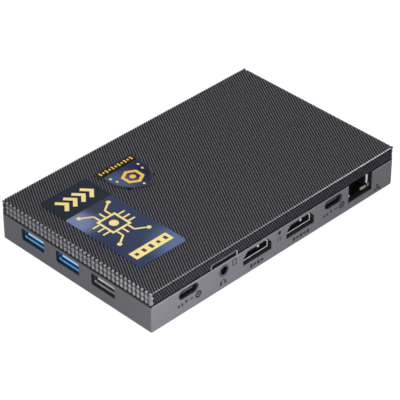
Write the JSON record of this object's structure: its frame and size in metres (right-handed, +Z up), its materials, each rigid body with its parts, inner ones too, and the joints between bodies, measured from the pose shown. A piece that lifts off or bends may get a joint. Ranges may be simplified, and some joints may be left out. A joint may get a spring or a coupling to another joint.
{
  "type": "fanless mini pc",
  "caption": "Pocket-size fanless mini computer with a knurled heat-shedding lid, plain base tray, data, video, network, card and headphone ports, and a power key.",
  "frame": {"origin": "middle of the covered rectangle on the plane that the feet stand on", "axes": "+X along the long side, with the long port face to -Y and the three flat data ports to -X; +Z up"},
  "size_m": [0.131, 0.081, 0.0183],
  "materials": {
    "base_plastic": "fine moulded texture, satin",
    "lid_plastic": "knurled lumps, satin",
    "feet_rubber": "matte",
    "screw_steel": "zinc plated",
    "insert_brass": "plain",
    "info_print": "glossy printed film",
    "badge_print": "glossy printed film with gold",
    "board_laminate": "solder mask, satin",
    "chip_black": "moulded epoxy",
    "coil_grey": "pressed iron powder",
    "capacitor_body": "plain",
    "spreader_aluminium": "brushed",
    "pad_silicone": "soft silicone",
    "shield_tin": "tinned",
    "antenna_film": "printed film",
    "lead_black": "satin",
    "cell_steel": "plain",
    "holder_plastic": "satin",
    "port_steel": "nickel plated",
    "tongue_blue": "satin",
    "tongue_white": "satin",
    "tongue_black": "satin",
    "contact_gold": "gold plated",
    "socket_black": "satin",
    "lamp_green": "clear tinted",
    "lamp_clear": "frosted",
    "key_plastic": "satin",
    "lock_steel": "blackened"
  },
  "bodies": {
    "case": {"bottom_case": "base_plastic", "top_cover": "lid_plastic", "rubber_feet": "feet_rubber", "case_screws": "screw_steel", "bracket_inserts": "insert_brass", "info_sticker": "info_print", "badge_sticker": "badge_print", "main_board": "board_laminate", "board_screws": "screw_steel", "heat_spreader": "spreader_aluminium", "memory_chips": "chip_black", "board_chips": "chip_black", "power_inductors": "coil_grey", "board_capacitors": "capacitor_body", "power_switch": "socket_black", "status_lamp": "lamp_clear", "lock_plate": "lock_steel", "processor": "chip_black", "thermal_pads": "pad_silicone", "radio_module": "board_laminate", "radio_shield": "shield_tin", "antenna_left": "antenna_film", "antenna_right": "antenna_film", "antenna_lead_left": "lead_black", "antenna_lead_right": "lead_black", "clock_battery": "cell_steel", "battery_holder": "holder_plastic", "drive_socket": "socket_black", "drive_stud": "insert_brass", "usb_contacts": "contact_gold", "audio_jack_body": "socket_black", "audio_jack_spring": "contact_gold", "network_jack_housing": "socket_black", "network_jack_shield": "port_steel", "network_jack_contacts": "contact_gold", "network_jack_lamps": "lamp_green", "card_socket_base": "socket_black", "card_socket_cover": "port_steel", "reset_switch": "socket_black", "usb3_port_1_shell": "port_steel", "usb3_port_1_tongue": "tongue_blue", "usb3_port_2_shell": "port_steel", "usb3_port_2_tongue": "tongue_blue", "usb2_port_shell": "port_steel", "usb2_port_tongue": "tongue_white", "side_usb3_port_shell": "port_steel", "side_usb3_port_tongue": "tongue_blue", "video_port_1_shell": "port_steel", "video_port_1_tongue": "tongue_black", "video_port_2_shell": "port_steel", "video_port_2_tongue": "tongue_black", "usb_c_port_1_shell": "port_steel", "usb_c_port_1_tongue": "tongue_black", "usb_c_port_2_shell": "port_steel", "usb_c_port_2_tongue": "tongue_black"},
    "power_button": {"power_key": "key_plastic", "power_switch_plunger": "socket_black"},
    "reset_key": {"reset_plunger": "tongue_white"},
    "card_catch": {"card_slider": "socket_black"}
  },
  "joints": [
    {"name": "power_press", "type": "slide", "parent": "case", "child": "power_button", "axis": [-1, 0, 0], "range_m": [0, 0.00035], "stiffness_N_per_m": 300},
    {"name": "reset_press", "type": "slide", "parent": "case", "child": "reset_key", "axis": [0, 1, 0], "range_m": [0, 0.00025], "stiffness_N_per_m": 300},
    {"name": "card_press", "type": "slide", "parent": "case", "child": "card_catch", "axis": [0, 1, 0], "range_m": [0, 0.001], "stiffness_N_per_m": 150}
  ]
}
